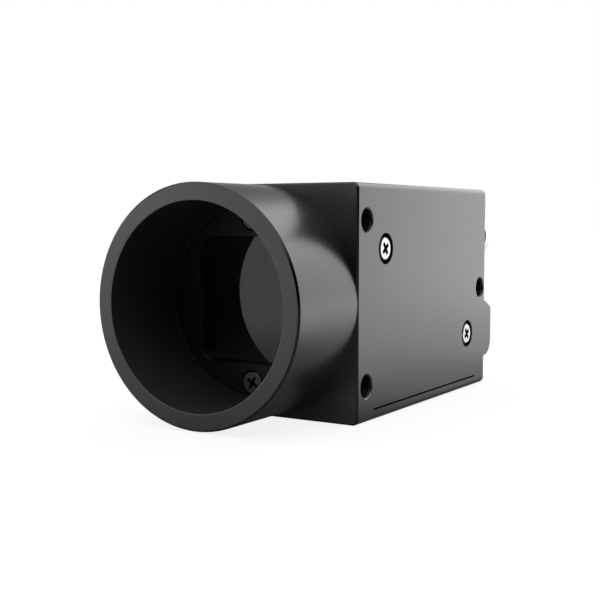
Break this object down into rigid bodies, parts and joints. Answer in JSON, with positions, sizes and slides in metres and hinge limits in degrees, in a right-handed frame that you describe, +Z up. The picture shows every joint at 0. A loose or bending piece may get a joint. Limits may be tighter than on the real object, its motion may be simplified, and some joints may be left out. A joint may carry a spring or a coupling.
{
  "type": "machine vision camera",
  "caption": "Small square industrial camera body with a round threaded lens tube in front, mounting holes in its sides, and data and power sockets behind.",
  "frame": {"origin": "centre of the lens seat at the front of the tube, on the optical axis", "axes": "-Y is the optical axis, towards the scene; +Z is up; +X is the side with the power socket"},
  "size_m": [0.029, 0.0585, 0.029],
  "materials": {
    "body": "dark anodised, satin",
    "aperture": "black anodised, dull",
    "aperture_screw": "dark steel",
    "bright_screw": "bright steel",
    "filter": "polished",
    "gasket": "foam rubber",
    "package": "dark ceramic",
    "silicon": "polished silicon",
    "board": "green solder mask over glass fibre",
    "chip": "moulded epoxy",
    "coil": "pressed ferrite",
    "capacitor": "drawn can",
    "spacer": "turned brass",
    "link": "moulded plastic",
    "data_shell": "drawn steel",
    "data_tongue": "moulded plastic with contacts",
    "power_shell": "satin plated",
    "power_nut": "dark plated",
    "power_insert": "moulded plastic",
    "pin": "gold plated",
    "lamp": "clear resin",
    "light_pipe": "clear moulding"
  },
  "bodies": {
    "root": {"front_housing": "body", "housing_cover": "body", "floor_plate": "body", "rear_housing": "body", "aperture_plate": "aperture", "aperture_screws": "aperture_screw", "cover_screws_front": "bright_screw", "cover_screws_rear": "bright_screw", "board_screws": "bright_screw", "connector_board_screws": "bright_screw", "filter_glass": "filter", "sensor_window": "filter", "filter_gasket": "gasket", "image_sensor": "package", "sensor_die": "silicon", "sensor_board": "board", "processor_board": "board", "interface_board": "board", "connector_board": "board", "processor_chip": "chip", "memory_chip": "chip", "data_chip": "chip", "power_coils": "coil", "capacitors": "capacitor", "front_spacers": "spacer", "rear_spacers": "spacer", "link_plug_front": "link", "link_socket_front": "link", "link_plug_middle": "link", "link_socket_middle": "link", "link_plug_rear": "link", "link_socket_rear": "link", "data_socket_shell": "data_shell", "data_socket_tongue": "data_tongue", "power_socket_shell": "power_shell", "power_socket_nut": "power_nut", "power_socket_insert": "power_insert", "power_socket_pins": "pin", "status_lamp": "lamp", "status_light_pipe": "light_pipe"}
  },
  "joints": []
}
